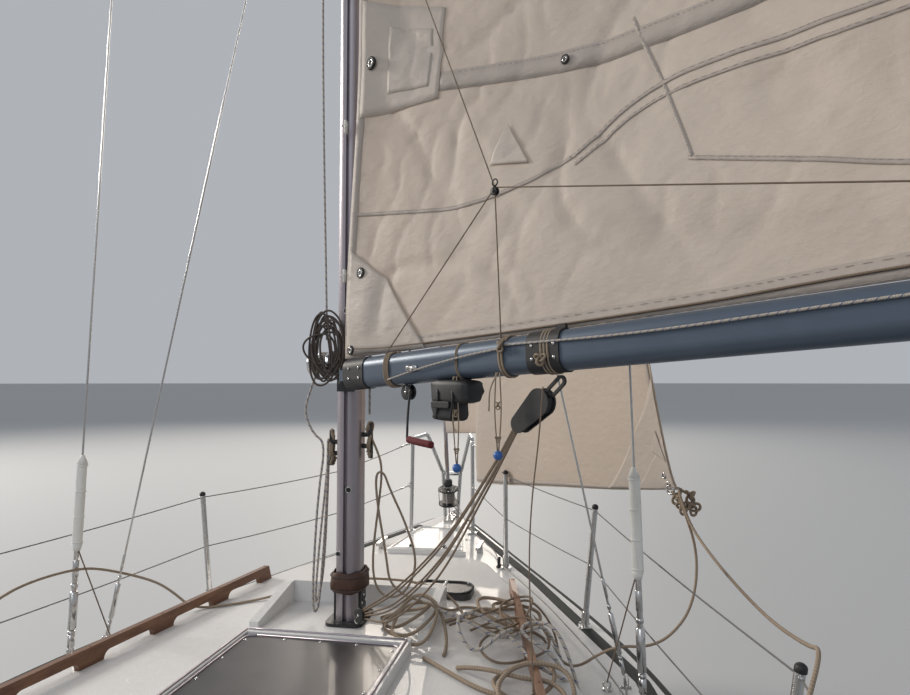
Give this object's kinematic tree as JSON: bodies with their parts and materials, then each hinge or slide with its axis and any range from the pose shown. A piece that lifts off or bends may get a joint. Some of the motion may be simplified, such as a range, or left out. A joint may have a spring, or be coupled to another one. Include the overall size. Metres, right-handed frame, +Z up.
{
  "type": "small sailing yacht",
  "caption": "Small keel sailing yacht afloat, with a swung-out boom, mainsail, furling jib, cockpit, cabin, tiller and rudder, and rails.",
  "frame": {"origin": "on the centreline at the waterline, level with the mast", "axes": "+X forward to the bow, +Y to port, +Z up"},
  "size_m": [7.341, 3.6202, 10.455],
  "materials": {
    "gelcoat": "white gelcoat",
    "hull_gelcoat": "white gelcoat, waterline stripe and bottom paint",
    "keel_paint": "iron under bottom paint",
    "strake_rubber": "black green rubber",
    "teak": "varnished teak",
    "mast_alloy": "anodised, satin",
    "boom_alloy": "slate blue, satin",
    "steel": "polished stainless steel",
    "chrome": "chromed bronze",
    "white_plastic": "white tube",
    "black_plastic": "black nylon",
    "black_alloy": "black anodised",
    "smoked_acrylic": "smoked acrylic",
    "tinted_acrylic": "tinted acrylic",
    "sailcloth": "cream woven sailcloth"
  },
  "bodies": {
    "yacht": {"hull": "hull_gelcoat", "deck": "gelcoat", "coachroof": "gelcoat", "cockpit": "gelcoat", "side_windows": "tinted_acrylic", "deck_light": "tinted_acrylic", "keel": "keel_paint", "strakes": "strake_rubber", "gudgeons": "steel", "mast": "mast_alloy", "mast_step": "black_alloy", "mast_well": "gelcoat", "masthead": "mast_alloy", "spreaders": "mast_alloy", "chainplates": "steel", "cap_shrouds": "steel", "shroud_sleeves": "white_plastic", "lower_shrouds": "steel", "forestay": "mast_alloy", "furler": "black_plastic", "stem_fitting": "steel", "backstay": "steel", "backstay_leg_port": "steel", "backstay_leg_starboard": "steel", "gooseneck": "black_alloy", "jib": "sailcloth", "pulpit": "steel", "pushpit": "steel", "stanchions_port": "steel", "stanchions_starboard": "steel", "handrails": "teak", "hatch_rails": "gelcoat", "winch_bases": "black_plastic", "mast_winch_base": "black_alloy", "mast_cleats": "black_plastic", "mooring_cleats": "steel", "genoa_tracks": "black_alloy"},
    "boom_rig": {"boom": "boom_alloy", "boom_fittings": "black_plastic", "vang": "black_plastic", "mainsail": "sailcloth"},
    "rudder_body": {"rudder": "gelcoat"},
    "tiller_body": {"tiller": "teak"},
    "hatch": {"companion_hatch": "smoked_acrylic"},
    "fore_lid_body": {"fore_lid": "gelcoat"},
    "locker_lid_port_body": {"locker_lid_port": "gelcoat"},
    "locker_lid_starboard_body": {"locker_lid_starboard": "gelcoat"},
    "winch_port_drum": {"winch_port": "chrome"},
    "winch_starboard_drum": {"winch_starboard": "chrome"},
    "mast_winch_drum": {"mast_winch": "chrome"}
  },
  "joints": [
    {"name": "boom_swing", "type": "hinge", "parent": "yacht", "child": "boom_rig", "pos_m": [-0.107, 0, 1.95], "axis": [0, 0, 1], "range_deg": [-126, 18]},
    {"name": "rudder_turn", "type": "hinge", "parent": "yacht", "child": "rudder_body", "pos_m": [-4.692, 0, 0.4], "axis": [0, 0, 1], "range_deg": [-40, 40]},
    {"name": "tiller_lift", "type": "hinge", "parent": "rudder_body", "child": "tiller_body", "pos_m": [-4.78, 0, 0.915], "axis": [0, -1, 0], "range_deg": [0, 60]},
    {"name": "hatch_slide", "type": "slide", "parent": "yacht", "child": "hatch", "axis": [-1, 0, 0], "range_m": [0, 0.5]},
    {"name": "fore_lid_lift", "type": "hinge", "parent": "yacht", "child": "fore_lid_body", "pos_m": [1.8, 0, 0.97662], "axis": [0, 1, 0], "range_deg": [0, 80]},
    {"name": "locker_lid_port_lift", "type": "hinge", "parent": "yacht", "child": "locker_lid_port_body", "pos_m": [-2.75, 0.607, 0.5455], "axis": [-1, 0, 0], "range_deg": [0, 95]},
    {"name": "locker_lid_starboard_lift", "type": "hinge", "parent": "yacht", "child": "locker_lid_starboard_body", "pos_m": [-2.75, -0.607, 0.5455], "axis": [1, 0, 0], "range_deg": [0, 95]},
    {"name": "winch_port_turn", "type": "hinge", "parent": "yacht", "child": "winch_port_drum", "pos_m": [-2.05, 0.895, 0.97], "axis": [0, 0, 1], "continuous": true},
    {"name": "winch_starboard_turn", "type": "hinge", "parent": "yacht", "child": "winch_starboard_drum", "pos_m": [-2.05, -0.895, 0.97], "axis": [0, 0, 1], "continuous": true},
    {"name": "mast_winch_turn", "type": "hinge", "parent": "yacht", "child": "mast_winch_drum", "pos_m": [0, 0.1, 2], "axis": [0, 1, 0], "continuous": true}
  ]
}
